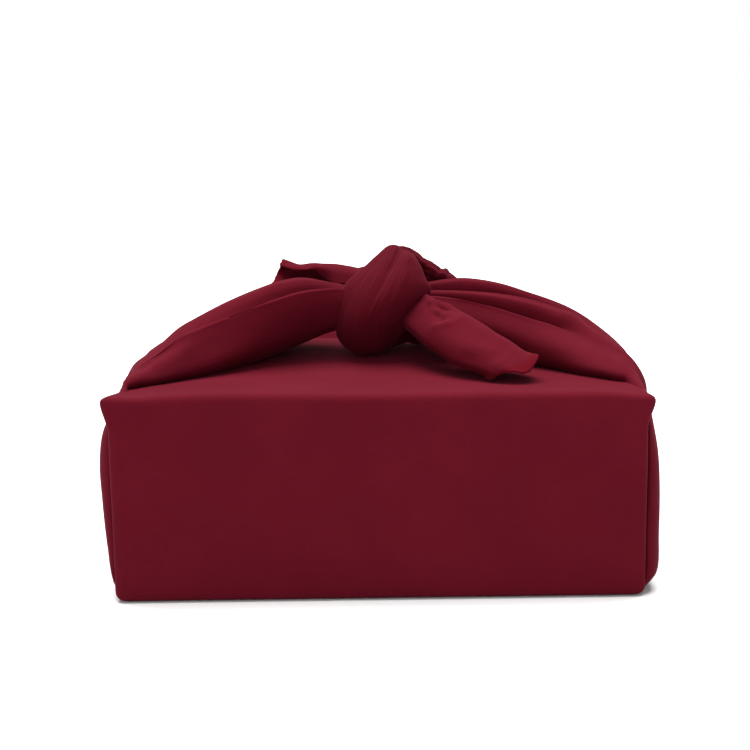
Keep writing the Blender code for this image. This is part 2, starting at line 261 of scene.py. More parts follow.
# ------------------------------------------------------- gathered side bands
# A row for each station of a band: from under the box's bottom edge, up its
# side, over the top edge and in to the knot. x0, z0 is a point on the box and
# tilt the way out from it (90 sideways, 0 up). Then (y, height) of the front
# edge, belly and middle of the front panel; (y, height, depth of the pleat
# behind it) of three crests; (y, height) of the last crest, the rear and the
# back edge. The hidden underside is `under` above the base.
LEFT = (
    (-121.0, 3, 90, (-96, .5), (-90, .5), (-74, .5), (-42, .5, .1), (-6, .5, .1), (34, .5, .1), (64, .5), (86, .5), (96, .5), -1),
    (-124.4, 9, 90, (-98, .3), (-91, 2.0), (-75, 2.6), (-42, 2.6, .4), (-6, 2.8, .4), (34, 2.6, .4), (64, 2.4), (87, 2.0), (97, .3), -1.5),
    (-124.2, 25, 90, (-98, .6), (-92, 3.9), (-76, 4.9), (-42, 4.9, .9), (-6, 5.1, .9), (34, 4.9, .9), (65, 4.6), (88, 3.6), (97, .7), -1.5),
    (-124.0, 46, 90, (-97, 1.2), (-91, 5.8), (-77, 6.8), (-42, 6.7, 1.6), (-6, 6.7, 1.6), (34, 6.3, 1.6), (65, 5.8), (88, 4.8), (97, 1.2), -1.5),
    (-123.6, 64, 90, (-97, 1.1), (-91, 6.7), (-77, 7.8), (-43, 7.6, 2.0), (-6, 7.8, 2.2), (35, 7.4, 2.0), (64, 6.4), (87, 5.0), (96, 1.2), -1.5),
    (-123.0, 79, 90, (-96, .8), (-90, 5.4), (-76, 6.8), (-43, 7.4, 2.2), (-5, 7.8, 2.6), (36, 7.4, 2.2), (63, 6.0), (85, 4.0), (95, .6), -1.5),
    (-122.6, 89, 74, (-94, -.2), (-88, 1.0), (-73, 3.4), (-46, 6.4, 2.0), (-5, 7.6, 2.6), (37, 7.0, 2.2), (62, 5.4), (83, 2.8), (93, .1), -3),
    (-119.0, 94.2, 45, (-86, -.6), (-83, .6), (-71, 4.2), (-46, 7.6, 2.0), (-5, 8.6, 2.8), (37, 8.4, 2.4), (61, 7.0), (79, 3.8), (88, .5), -4),
    (-120.6, 0, 0, (-70, 97.2), (-74, 98.8), (-66, 100.8), (-49, 102.4, 2.2), (-5, 104.0, 2.8), (36, 103.6, 2.4), (59, 102.0), (74, 99.6), (82, 96.4), 94),
    (-113, 0, 0, (-60, 96.8), (-64.6, 99.0), (-57, 104.2), (-46, 108.4, 3.8), (-5, 109.2, 3.4), (34, 107.6, 3.0), (54, 105.4), (67, 101.4), (75, 96.2), 94),
    (-103, 0, 0, (-52, 96.9), (-56.6, 99.6), (-49.5, 108.4), (-41.5, 115.6, 5.2), (-4, 118.0, 4.0), (31, 115.6, 3.6), (48, 112.0), (58, 104.8), (62, 96.3), 94.5),
    (-92, 0, 0, (-41, 97.4), (-47.2, 100.8), (-42, 111.2), (-36.8, 120.1, 6.4), (-6, 124.6, 4.4), (26, 120.6, 4.0), (41, 115.4), (48, 107.0), (50, 97.6), 95),
    (-79, 0, 0, (-28, 98.6), (-39.2, 103.8), (-36, 115.0), (-32.4, 125.0, 7.4), (-8, 131.5, 4.8), (22, 126.4, 4.0), (34, 119.8), (38.5, 111.0), (38, 101.0), 97.4),
    (-64, 0, 0, (-17, 101.8), (-31.0, 108.8), (-31, 119.8), (-28.8, 130.4, 7.8), (-9, 137.8, 5.0), (19, 131.8, 4.0), (29, 124.4), (32.5, 115.6), (31, 106.0), 101.5),
    (-50, 0, 0, (-8, 106.0), (-21, 112.4), (-25, 124.0), (-24.6, 134.7, 7.8), (-7.5, 142.2, 5.0), (17, 135.8, 3.6), (25, 127.8), (28, 119.0), (26, 110.6), 106),
    (-39, 0, 0, (-5, 110.5), (-14, 115.3), (-20.4, 126.0), (-19.8, 137.4, 7.0), (-5, 143.4, 4.4), (15, 137.6, 3.0), (22, 129.8), (24, 122.0), (22, 114.4), 110),
    (-29, 0, 0, (-3, 114.5), (-9.5, 118.5), (-15.2, 128.0), (-14.8, 138.3, 5.4), (-2, 141.5, 3.6), (13, 136.6, 2.4), (18.5, 129.6), (20, 123.8), (18.5, 118.0), 114),
    (-19, 0, 0, (-3, 117.5), (-8, 121.0), (-12, 129.0), (-11, 138.2, 3.0), (3.5, 138.4, 2.0), (11, 135.6, 1.8), (15.5, 129.8), (17, 125.2), (15.5, 120.0), 117),
    (-6, 0, 0, (-4, 120.5), (-7, 123.0), (-9, 129.0), (-7, 134.6, 1.2), (2, 135.2, 1.0), (8, 133.2, 1.0), (12, 129.2), (13, 126.0), (11, 122.0), 120),
)
RIGHT = (
    (121.8, 3, 90, (-98, .5), (-92, 4.6), (-76, 5.2), (-42, 3.2, .1), (-16, 3.0, .1), (22, 3.0, .1), (60, 2.8), (86, 2.2), (97, .3), -1),
    (124.6, 9, 90, (-99, 1.0), (-92, 6.4), (-77, 7.0), (-43, 5.8, .4), (-18, 4.8, .4), (21, 4.8, .4), (60, 4.4), (86, 3.6), (97, .4), -1.5),
    (124.6, 28, 90, (-98, 1.2), (-92, 7.2), (-77, 7.8), (-46, 7.6, 1.1), (-23, 7.8, 1.0), (19, 7.6, 1.1), (59, 7.2), (87, 6.0), (97, 1.0), -1.5),
    (124.6, 50, 90, (-97, 1.8), (-91, 7.5), (-77, 8.4), (-50, 8.0, 1.7), (-29, 8.4, 1.6), (17, 8.2, 1.7), (58, 7.4), (87, 6.4), (97, 1.6), -1.5),
    (124.6, 67, 90, (-97, 1.6), (-91, 6.6), (-77, 7.4), (-56, 7.2, 2.1), (-36, 8.2, 1.7), (14, 8.3, 2.1), (57, 7.0), (86, 5.8), (96, 1.4), -1.5),
    (124.6, 81, 90, (-97, .8), (-91, 4.2), (-79, 5.2), (-61, 5.8, 2.4), (-42, 8.4, 1.6), (12, 8.6, 2.2), (56, 6.2), (84, 3.8), (95, .7), -1.5),
    (123.8, 90, 74, (-93, .0), (-93, 2.2), (-81, 3.9), (-66, 4.6, 3.4), (-45, 9.4, 1.4), (10, 9.6, 2.4), (54, 6.2), (82, 3.0), (93, .1), -3),
    (122.5, 94.0, 55, (-86, .0), (-89, 2.0), (-79, 4.0), (-66, 4.8, 4.0), (-45, 9.0, 1.4), (9, 11.4, 2.8), (50, 8.0), (78, 3.0), (90, -.2), -4),
    (120.5, 96.0, 30, (-69.5, .2), (-71.5, 2.6), (-67, 5.4), (-60, 8.2, 4.0), (-42, 10.0, 1.4), (8, 12.6, 3.0), (47, 10.4), (72, 4.8), (83, -.6), -3),
    (116, 96.8, 16, (-64, -.2), (-67.5, 3.2), (-60, 8.0), (-49, 11.4, 2.6), (-28, 13.8, 1.4), (9, 16.8, 3.2), (45, 14.0), (68, 8.0), (79, -.3), -3),
    (111, 0, 0, (-57, 96.8), (-61.5, 100.2), (-51, 105.8), (-35, 111.0, 2.0), (-13, 117.0, 1.4), (7, 120.3, 4.0), (40, 115.4), (60, 106.0), (69, 96.2), 94),
    (102, 0, 0, (-46, 96.9), (-50.5, 100.8), (-44.5, 107.2), (-27, 114.6, 2.0), (-12, 123.4, 2.8), (5.5, 125.0, 4.2), (33, 118.4), (48, 108.4), (56, 97.0), 94.5),
    (92, 0, 0, (-32, 97.4), (-39, 101.6), (-37.5, 109.4), (-22.5, 118.2, 4.6), (-10, 127.2, 4.6), (5, 129.5, 4.6), (28, 121.0), (40, 110.0), (45, 98.0), 95.5),
    (80, 0, 0, (-21.5, 98.6), (-28.5, 102.6), (-29.5, 111.6), (-20, 121.9, 7.2), (-8, 131.0, 5.8), (5, 134.0, 5.0), (23, 124.6), (33, 113.4), (36.5, 101.0), 97.5),
    (68, 0, 0, (-15.5, 101.4), (-22.5, 106.4), (-25, 115.4), (-17.4, 125.9, 7.4), (-6.5, 133.4, 6.2), (5, 138.0, 5.0), (19, 128.0), (27.5, 118.0), (29, 105.0), 101),
    (56, 0, 0, (-11.5, 105.4), (-18, 110.4), (-20.6, 119.4), (-14.4, 129.3, 6.4), (-5.5, 134.8, 5.4), (4.8, 140.6, 4.6), (16.5, 130.6), (22.5, 121.4), (23.5, 110.0), 105),
    (45, 0, 0, (-9, 109.6), (-15.5, 114.4), (-17.2, 122.6), (-11.5, 131.8, 4.2), (-4.8, 135.4, 3.8), (4.3, 141.6, 4.0), (14, 132.6), (19, 124.4), (19, 114.4), 109),
    (35, 0, 0, (-9, 113.6), (-15, 118.5), (-15.5, 125.5), (-9, 132.8, 3.2), (-4, 135.4, 2.8), (3.8, 140.8, 3.0), (12, 132.6), (16, 125.6), (15.5, 118.0), 113),
    (24, 0, 0, (-8, 117.5), (-13, 121.5), (-13.5, 127.0), (-8, 133.2, 1.8), (-3.5, 135.0, 1.6), (3.5, 138.6, 2.0), (11, 131.6), (14, 126.0), (13.5, 119.4), 116),
    (10, 0, 0, (-6, 120.4), (-10, 124.0), (-10, 128.4), (-6, 132.2, .8), (-3, 133.2, .8), (3, 134.2, 1.0), (8, 130.2), (10, 126.4), (9, 121.4), 119.8),
)
TIGHT, WIDE = 2, 4                  # samples a span, at a pleat and elsewhere
# pulls across the bands: from, to, height, width
CREASES_LEFT = (((-119, -70, 99.0), (-108, -54, 106.2), 1.9, 2.2), ((-108, -54, 106.2), (-94.5, -43, 112.6), 1.5, 2.4),
                ((-115, -55, 107.0), (-103, -42, 112.0), -1.8, 4.6),
                ((-60, -27, 122), (-40, -20, 133), 0.5, 2.0))
CREASES_RIGHT = (((90, -17, 121.5), (104, -13, 121.5), 1.6, 3.0),)


def profile(cells, under):
    """Points of one section, (y, height), with a pleat behind each crest, and
    the number of samples to the next point."""
    front, belly, mid, *crests, last, rear, back = cells
    pts, per = [front, belly, mid], [3, WIDE, WIDE]
    rest = [*crests, last]
    before = np.array(mid, float)
    for k, crest in enumerate(rest):
        p = np.array(crest[:2], float)
        step = before - p
        reach = np.linalg.norm(step)
        pts.append(p + step * min(1.3 / reach, 0.3))
        pts.append(p + (0, 0.25))
        per += [TIGHT, TIGHT]
        if k < len(crests):
            q = np.array(rest[k + 1][:2], float)
            gap = np.linalg.norm(q - p)
            e = (q - p) / gap
            n = np.array((-e[1], e[0]))
            if n[1] < 0:
                n = -n
            depth = crest[2]
            pts.append(p + e * min(1.5, 0.12 * gap) - n * depth * 0.62)
            pts.append(p + e * min(3.6, 0.32 * gap) - n * depth)
            swell = p + e * gap * 0.66 + n * min(0.09 * gap, 1.6)
            pts.append(swell)
            per += [TIGHT, 3, 3]
            before = swell
    pts += [rear, back, (back[0] * 0.62 + front[0] * 0.06, under), ((back[0] + front[0]) / 2, under),
            (front[0] * 0.62 + back[0] * 0.06, under)]
    per[-1] = WIDE
    per += [WIDE, 3, 3, 3, 3]
    return pts, per


def normals_of(P, closed):
    dv = np.gradient(P, axis=0)
    if closed:
        du = (np.roll(P, -1, axis=1) - np.roll(P, 1, axis=1)) * 0.5
    else:
        du = np.gradient(P, axis=1)
    n = np.cross(dv, du)
    return n / np.maximum(np.linalg.norm(n, axis=2, keepdims=True), 1e-9)


def outward(P, closed, towards=None):
    """Unit normals that point out of a tube, or the way `towards` gives."""
    n = normals_of(P, closed)
    if towards is None:
        away = P - P.mean(axis=1, keepdims=True)
        sign = np.sign((n * away).sum())
    else:
        sign = np.sign((n * np.asarray(towards)).sum())
    return n * sign, sign < 0


def band(name, table, side, creases=()):
    rings = []
    for x0, z0, tilt, *cells, under in table:
        a = math.radians(tilt)
        nx, nz = side * math.sin(a), math.cos(a)
        pts, per = profile(cells, under)
        rings.append(np.array([(x0 + nx * h, y, z0 + nz * h) for y, h in pts]))
    count = len(rings[0])
    flat = np.array([r.ravel() for r in rings])
    mids = np.array([r.mean(axis=0) for r in rings])
    knots = np.linalg.norm(np.diff(mids, axis=0), axis=1) ** 0.5
    flat = spline(flat, 6, knots=knots)
    P = np.array([spline(f.reshape(count, 3), per, closed=True) for f in flat])
    n, _ = outward(P, True)
    rows, cols = P.shape[:2]
    du = np.linalg.norm(np.diff(P, axis=1, append=P[:, :1]), axis=2)
    arc = np.cumsum(du, axis=1)
    rib_and_shade = np.zeros((rows, cols))
    for i in range(rows):
        for j in range(cols):
            x, y, z = P[i, j]
            near = float(smooth((80 - abs(x)) / 50.0))        # close to the knot
            top = float(smooth((z - 99) / 8.0))
            q = arc[i, j] / max(arc[i, -1], 1) * 120
            fine = noise.noise(Vector((q * 0.16, x * 0.018, 5.0 + side))) * 0.8 * near
            broad = noise.noise(Vector((y * 0.035, x * 0.022, z * 0.03 + 9 * side))) * 0.7 * top
            wall = noise.noise(Vector((y * 0.05, z * 0.012, 4.0 * side))) * 0.9 * (1 - top) * float(smooth((z - 6) / 20))
            P[i, j] = P[i, j] + n[i, j] * (fine + broad + wall + pulled(P[i, j], creases))
            # painted shade near the knot, which also raises the drawn-in ribs there
            rib_and_shade[i, j] = near * 0.35
    return grid_mesh(name, P, close_u=True, flip=outward(P, True)[1], masks={"rib_and_shade": rib_and_shade})


# ------------------------------------------------------------------- knot
# The front wrap, from behind the knot over its top to where it goes under. Each row runs from the
# left edge over the first lobe to the valley, up on to the edge of the second
# lobe that lies over it, and on to the right edge.
WRAP_FRONT = (
    ((3.0, 21, 139.0), (5.0, 24, 141.0), (8.5, 25, 141.5), (11.5, 25, 141.5), (13.5, 25, 141.5), (16.5, 24, 141.0), (19.0, 22, 139.5)),
    ((4.8, 18, 146.5), (6.6, 19.5, 149.6), (9.6, 20, 150.8), (12.2, 20, 150.8), (13.6, 20, 150.6), (16.2, 19.5, 149.8), (18.8, 19.5, 147.6)),
    ((6.7, 12, 150.7), (8.3, 10, 154.6), (10.5, 9, 156.2), (13.1, 9, 156.2), (13.9, 9, 156.2), (16.9, 9.5, 155.5), (19.6, 12, 153.2)),
    ((6.4, 4, 157.9), (8.1, 1.5, 159.8), (10.9, 0.5, 159.5), (13.5, 1, 157.9), (14.8, -1.5, 157), (17.4, -2.5, 156.8), (19.8, 1, 154.7)),
    ((0.2, -2, 154.1), (3.4, -6, 154.3), (7.5, -8.5, 153.9), (11.5, -8.8, 152.9), (13.5, -10.2, 154.0), (17.4, -11, 154.4), (21.5, -5, 152.2)),
    ((-4.8, -5, 149.9), (-1.4, -10, 149.7), (3.8, -13, 148.8), (8.2, -13.2, 147.9), (10.6, -14.7, 149.2), (16.2, -15.5, 150.1), (23.5, -9, 148.5)),
    ((-10.6, -7, 145.7), (-6.4, -13, 144.8), (-0.5, -17, 143.5), (5.0, -17.4, 142.9), (7.8, -18.6, 144.4), (15, -19.5, 145.3), (24.8, -11.5, 144)),
    ((-15.2, -8, 140.6), (-10.9, -15, 139), (-4.7, -19.5, 137.8), (1.6, -20.6, 137.3), (4.9, -21.6, 138.9), (12.8, -22, 140.1), (26.7, -13, 139.5)),
    ((-18.4, -8.5, 134.1), (-13.8, -16, 132.7), (-7.8, -21, 131.8), (-1.9, -22.3, 131.7), (1.4, -23.0, 133.2), (10.7, -22.8, 134.3), (25.2, -14, 134.5)),
    ((-20.6, -8, 127), (-16, -16, 125.4), (-10.5, -21, 124.6), (-4.4, -22.5, 125.2), (-1.4, -22.9, 126.9), (7.5, -21.8, 127.8), (21.1, -13.5, 128)),
    ((-21.4, -6.5, 119.7), (-17, -14, 117.8), (-11.7, -18.8, 117.3), (-6, -20, 118.4), (-3.4, -21, 120.6), (3.9, -19.4, 120), (16.6, -12, 120.8)),
    ((-20.4, -3, 112.6), (-15.9, -10, 110.7), (-10.9, -14, 110.1), (-5.6, -15, 110.7), (-3.5, -15.6, 112.1), (2.3, -14.5, 112.6), (12.6, -9, 114.5)),
    ((-17.5, 1, 107.5), (-13.2, -4, 105.1), (-8.4, -7, 103.9), (-4.7, -8, 104.2), (-2.6, -8.2, 104.7), (2.2, -7.6, 105.7), (8.9, -4, 108.6)),
    ((-15, 8, 107.1), (-11.7, 5, 104.1), (-8, 3.5, 102.4), (-4.7, 3, 102.4), (-2.6, 3, 102.7), (1.2, 3.4, 103.6), (6.6, 5, 106.6)),
    ((-12.8, 15, 110.5), (-10.7, 14.5, 107.2), (-7.5, 14.5, 104.4), (-4.8, 14.5, 103.9), (-3.1, 14.5, 104.1), (0.2, 14.5, 105.4), (4.6, 15, 109.2)),
)
# The other strand over the knot's top right: rows from the apex down to the
# right band; points from behind, over its crest, to the front.
WRAP_TOP = (
    ((10, 20, 150.1), (9.4, 12, 157.1), (9.1, 5, 159.7), (9.3, 1, 158.3), (9.8, 0, 155.7), (10.8, 0, 151.5)),
    ((16.7, 24, 148.7), (16, 16, 155.7), (15.3, 8, 158.3), (15.4, 3.5, 157.3), (15.7, 4, 154.3), (16.1, 3, 150.1)),
    ((22.7, 26, 146.3), (22, 19, 153.3), (21.2, 11, 155.6), (21, 6, 154.1), (20.5, 7, 150.3), (20.4, 4, 145.7)),
    ((28.8, 27, 142.8), (27.4, 20, 149.3), (26.6, 12, 151.8), (25.6, 7, 150), (24.6, 9, 145.8), (23.5, 4, 140.9)),
    ((33.7, 27, 139.4), (32.3, 20, 146.6), (31, 12, 149.4), (29.6, 7, 147), (27.5, 9, 142.6), (26.2, 4, 137.1)),
    ((38, 26, 136.7), (36.1, 19, 143.3), (34.7, 11, 146), (33, 6, 144.3), (30.7, 9, 140.4), (28.8, 4, 135.5)),
    ((40.7, 24, 136.8), (39, 18, 143.4), (37.4, 10, 146.1), (35.9, 5.5, 144.1), (34.4, 9, 140.3), (33.1, 4, 136)),
    ((43.8, 22, 134.8), (41.9, 16, 140.8), (39.8, 9, 143.8), (38.5, 5.5, 141.9), (37.6, 8.5, 138.7), (37.4, 5, 135.3)),
    ((47.5, 20, 133.3), (45.5, 14, 138.2), (43, 8, 140.4), (42.3, 5.5, 139.5), (42.4, 7.5, 136.6), (42.8, 5, 134.1)),
)
# Sections along the strands behind: centre, direction across, half width,
# half depth, and how far the outer face is parted by a lengthwise fold.
WRAP_REAR = (
    ((12, 12, 148), (0.45, 0.85, 0.30), 8, 4.0, 0.6),
    ((20, 17, 142.5), (0.60, 0.70, 0.40), 10, 4.6, 0.9),
    ((26, 19, 134), (0.75, 0.55, 0.35), 13, 5.5, 1.0),
    ((25, 21, 124), (0.88, 0.35, 0.30), 15, 6.2, 0.7),
    ((14, 19, 114.5), (0.95, 0.20, 0.20), 13, 5.6, 0.3),
    ((3, 9, 111), (1.00, 0.10, 0.00), 10, 5.0, 0.0),
)
WRAP_BACK = (
    ((-10, 5, 128.5), (0.2, 0.5, 0.85), 6, 3.8, 0.2),
    ((-11.5, 14, 130.5), (-0.30, 0.25, 0.90), 9.5, 5.0, 0.5),
    ((-4, 21, 133), (-0.45, 0.10, 0.88), 15, 6.0, 0.8),
    ((9, 24, 129), (-0.40, 0.05, 0.90), 16, 6.4, 0.7),
    ((20, 18, 124), (-0.30, 0.00, 0.95), 13, 6.0, 0.4),
    ((26, 6, 122), (-0.20, 0.00, 0.97), 9, 5.0, 0.2),
)
PARTED = ((-1.0, -0.10), (-0.90, 0.50), (-0.55, 0.90), (-0.15, 0.92), (0.02, 0.66),
          (0.12, 0.84), (0.45, 1.08), (0.80, 0.80), (1.0, 0.10), (0.86, -0.55), (0.3, -0.85),
          (-0.3, -0.85), (-0.85, -0.60))
WHOLE = ((-1.0, -0.10), (-0.90, 0.50), (-0.55, 0.88), (-0.15, 1.00), (0.02, 1.00),
         (0.12, 1.00), (0.45, 0.90), (0.80, 0.62), (1.0, 0.10), (0.86, -0.55), (0.3, -0.85),
         (-0.3, -0.85), (-0.85, -0.60))
KNOT_MIDDLE = np.array((3.0, 3.0, 129.0))


def rumple(P, n, seed, low, fine, run=0.035):
    """Unevenness of drawn cloth: soft dents and creases along the rows."""
    rows, cols = P.shape[:2]
    for i in range(rows):
        for j in range(cols):
            p = P[i, j]
            q = j / cols * 40
            a = noise.noise(Vector((p[0] * 0.07 + seed, p[1] * 0.07, p[2] * 0.06)))
            b = noise.noise(Vector((q * 0.55 + seed, i * run, seed)))
            P[i, j] = p + n[i, j] * (low * a + fine * b)


def capped(P):
    """A tube with both its ends rounded shut."""
    rings = []
    for ring, before in ((P[0], P[2]), (P[-1], P[-3])):
        middle = ring.mean(axis=0)
        ahead = middle - before.mean(axis=0)
        ahead *= 1.5 / max(np.linalg.norm(ahead), 1e-6)
        rings.append([middle + (ring - middle) * share + ahead * (1 - share) for share in (0.75, 0.35, 0.02)])
    return np.concatenate((rings[0][::-1], P, rings[1]))


def wrap_front():
    rows = []
    for row in WRAP_FRONT:
        r = np.array(row, float)
        left, right = r[0], r[-1]
        inside = KNOT_MIDDLE - (left + right) / 2
        inside /= max(np.linalg.norm(inside), 1e-6)
        ring = [left + (left - r[1]) * 0.10 + inside * 3.0, *r, right + (right - r[-2]) * 0.10 + inside * 3.0,
                right * 0.7 + left * 0.3 + inside * 6.0, right * 0.3 + left * 0.7 + inside * 6.0]
        rows.append(np.array(ring).ravel())
    knots = [np.linalg.norm(np.subtract(WRAP_FRONT[i + 1][3], WRAP_FRONT[i][3])) ** 0.5 for i in range(len(WRAP_FRONT) - 1)]
    rows = spline(rows, 8, knots=knots)
    per = [3, 8, 8, 8, 4, 9, 9, 3, 3, 3, 3]
    P = np.array([spline(r.reshape(-1, 3), per, closed=True) for r in rows])
    n, _ = outward(P, True)
    rumple(P, n, 1.3, 0.55, 0.45)
    P = capped(P)
    # the whole front wrap gets painted shade, with rib relief
    return grid_mesh("wrap_front", P, close_u=True, flip=outward(P, True)[1], masks={"rib_and_shade": np.ones(P.shape[:2])})


def wrap_top():
    rows = np.array([np.array(r, float).ravel() for r in WRAP_TOP])
    mids = np.array([r.reshape(-1, 3).mean(axis=0) for r in rows])
    rows = spline(rows, 7, knots=np.linalg.norm(np.diff(mids, axis=0), axis=1) ** 0.5)
    P = np.array([spline(r.reshape(-1, 3), 7) for r in rows])
    n, _ = outward(P, False, (0, 0.2, 1.0))
    for i in range(P.shape[0]):
        for j in range(P.shape[1]):
            q = j / P.shape[1]
            crumple = noise.noise(Vector((q * 9 + i * 0.05, i * 0.11, 3.0)))
            P[i, j] += n[i, j] * (1.8 * (abs(crumple) - 0.25) + 0.4 * noise.noise(Vector((i * 0.3, q * 4, 1.0))))
    # extra painted shade on the strand behind the knot, with rib relief
    return grid_mesh("wrap_top", P, thickness=0.7, flip=outward(P, False, (0, 0.2, 1.0))[1],
                     masks={"rib_and_shade": np.ones(P.shape[:2]) * 1.5})


def strand(name, table, rib_and_shade_level=0.35, seed=1.0):
    rows = np.array([np.concatenate((c, a, (w, d, s))) for c, a, w, d, s in table], float)
    rows = spline(rows, 7, knots=np.linalg.norm(np.diff(rows[:, :3], axis=0), axis=1) ** 0.5)
    centres = rows[:, :3]
    ahead = np.gradient(centres, axis=0)
    ahead /= np.linalg.norm(ahead, axis=1)[:, None]
    rings = []
    vote = 0.0
    frames = []
    for c, t, row in zip(centres, ahead, rows):
        across = row[3:6] - t * row[3:6].dot(t)
        across /= np.linalg.norm(across)
        out = np.cross(t, across)
        vote += out.dot(c - KNOT_MIDDLE)
        frames.append((across, out))
    sign = 1.0 if vote > 0 else -1.0
    for c, row, (across, out) in zip(centres, rows, frames):
        split = min(max(row[8], 0.0), 1.0)
        key = np.array(PARTED) * split + np.array(WHOLE) * (1 - split)
        ring = spline(key, 4, closed=True)
        rings.append(c + np.outer(ring[:, 0] * row[6], across) + np.outer(ring[:, 1] * row[7] * sign, out))
    P = np.array(rings)
    n, _ = outward(P, True)
    rumple(P, n, seed, 0.9, 0.55)
    P = capped(P)
    # painted shade on the strands, with rib relief
    mask = np.ones(P.shape[:2]) * rib_and_shade_level
    return grid_mesh(name, P, close_u=True, flip=outward(P, True)[1], masks={"rib_and_shade": mask})


def core():
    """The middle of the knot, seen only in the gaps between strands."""
    rows, cols = 18, 28
    P = np.zeros((rows, cols, 3))
    for i in range(rows):
        a = math.pi * (0.04 + 0.92 * i / (rows - 1))
        for j in range(cols):
            b = 2 * math.pi * j / cols
            d = np.array((math.sin(a) * math.cos(b), math.sin(a) * math.sin(b), math.cos(a)))
            r = 1.0 + 0.10 * noise.noise(Vector(d * 2.3))
            top = float(smooth(d[2] / 0.6))
            P[i, j] = KNOT_MIDDLE + d * (21 - 5 * top, 15, 18 + 4.4 * top) * r + (1.0 * top, 3.0 * top, 0)
    # painted shade on the core, with rib relief
    return grid_mesh("core", P, close_u=True, flip=outward(P, True)[1], masks={"rib_and_shade": np.ones((rows, cols)) * 0.3})


# --------------------------------------------------------------- free ends
# Sections along each free end; points across the folded strip.
TAIL_RIGHT = (
    ((12.4, -10, 120.7), (13.9, -12, 124), (16.5, -13, 127.8), (19.7, -12, 131.3), (23, -10, 134.2), (23.7, -4, 133.1)),
    ((17.8, -21, 116.8), (17.7, -24, 120.1), (20.6, -23, 125.6), (23.6, -19.5, 130.4), (26.2, -15, 134), (28.3, -8, 132.4)),
    ((24, -32, 112), (23.7, -35, 115.2), (25.5, -34, 121.2), (28.1, -29, 127.2), (31.2, -22.5, 131.9), (33.2, -14, 129.2)),
    ((31.2, -43, 107.8), (31.2, -46, 110.9), (33.3, -44.5, 117.8), (36.2, -37.5, 125), (38.5, -30, 130), (40.6, -20, 125.6)),
    ((38.4, -53, 103.9), (39.3, -56, 107.7), (41.9, -54, 114.4), (44.6, -46.5, 120.9), (47, -38.5, 125.9), (48.9, -27, 121.1)),
    ((46.3, -60, 102), (48, -63, 105.6), (51.1, -61, 111.5), (54.2, -54, 116.9), (56.7, -47.5, 119.8), (59, -34, 114.6)),
    ((51.8, -64.5, 100.4), (54.4, -68, 103.4), (59.3, -67, 107.8), (63.6, -60.5, 112.2), (66.4, -55, 114.2), (67.8, -42, 108.4)),
    ((53.1, -66, 98.9), (57.5, -70.5, 102.7), (62.7, -71.5, 105.2), (68.5, -67, 107.4), (72.7, -59.5, 110.4), (73.1, -48, 105.6)),
    ((54.2, -67.5, 98.2), (59.8, -72, 102), (65.3, -74, 103.3), (71.9, -73, 102.4), (78.4, -64.5, 109.3), (76.9, -54, 105.4)),
)
TAIL_LEFT = (
    ((-7.6, 14, 134.5), (-7.6, 20, 138.4), (-7.5, 22, 142.6), (-7.4, 18, 145.3), (-7.4, 14, 146.2), (-8.5, 9, 144.2), (-9.6, 6, 139.6)),
    ((-14.2, 18, 133.2), (-14.2, 26, 138), (-14.2, 28, 143.3), (-14, 24, 146.5), (-13.9, 19, 147.6), (-14.4, 13, 144.5), (-15, 10, 139.3)),
    ((-21.9, 22, 134), (-22, 31, 138.2), (-22, 33, 143.6), (-21.8, 29, 147.1), (-21.7, 24, 148.5), (-22.1, 18.5, 145.8), (-22.7, 16, 139.5)),
    ((-29.1, 24, 134.5), (-29.3, 34, 138.6), (-29.4, 37, 144), (-28.6, 33, 147.3), (-28.4, 28, 148.8), (-28.8, 22.5, 146.7), (-28.4, 24, 142.2)),
    ((-35.1, 25, 135), (-35.5, 36, 139.1), (-35.6, 39, 144.2), (-35.1, 36, 147.3), (-34.5, 30, 148.9), (-33.8, 25, 147.6), (-33, 24.5, 146.1)),
    ((-42.9, 26, 135.9), (-43.1, 37, 139.7), (-43, 41, 144.1), (-42.1, 37, 146.7), (-41.5, 31, 148.1), (-39.9, 26, 147.3), (-38.7, 24, 145.7)),
    ((-51.1, 26, 136.8), (-50.4, 38, 140.3), (-49.2, 42, 145), (-47.9, 37, 148.4), (-47, 31.5, 149.9), (-46.2, 27, 148.2), (-45.3, 24.5, 146.2)),
    ((-58.5, 26, 137), (-56.8, 37, 140.4), (-54.6, 41, 144.7), (-52.9, 37, 148.7), (-51.1, 32, 151.3), (-51.9, 28.5, 149.8), (-52.5, 26, 148.5)),
)


# creases of the right end, by the knot: a dimple with a fold on either side
# that meet below it, and a second, softer one further down
CREASES_TAIL = (
    ((32.2, -27.0, 130.6), (34.6, -29.5, 128.4), -2.8, 2.6), ((31.6, -33.0, 126.6), (32.6, -36.0, 124.6), -2.2, 2.4),
    ((38.0, -31.0, 128.6), (41.0, -33.5, 127.0), -1.8, 3.0),
    ((26.2, -15.0, 134.0), (28.6, -22.6, 131.4), 1.2, 1.4), ((28.6, -22.6, 131.4), (30.6, -30.0, 127.6), 1.5, 1.3),
    ((32.4, -22.5, 132.2), (36.6, -26.5, 130.8), 1.2, 1.3),
    ((29.6, -38.7, 120.6), (36.6, -41.7, 122.2), 1.3, 1.8), ((36.6, -41.7, 122.2), (43.5, -40.2, 125.4), 0.8, 2.2),
    ((46.0, -58.5, 108.0), (58.0, -64.0, 107.5), -0.8, 3.4), ((58.0, -69.0, 105.2), (66.0, -62.0, 111.0), 0.5, 2.0),
)


def pulled(p, creases):
    """Height of the creases at a point: sharp ridges and soft troughs."""
    total = 0.0
    for a, b, amp, wide in creases:
        a, b = np.array(a, float), np.array(b, float)
        ab = b - a
        t = float(np.clip((p - a).dot(ab) / ab.dot(ab), 0, 1))
        d = np.linalg.norm(p - (a + ab * t)) / wide
        total += amp * (math.exp(-d) if amp > 0 else math.exp(-d * d))
    return total


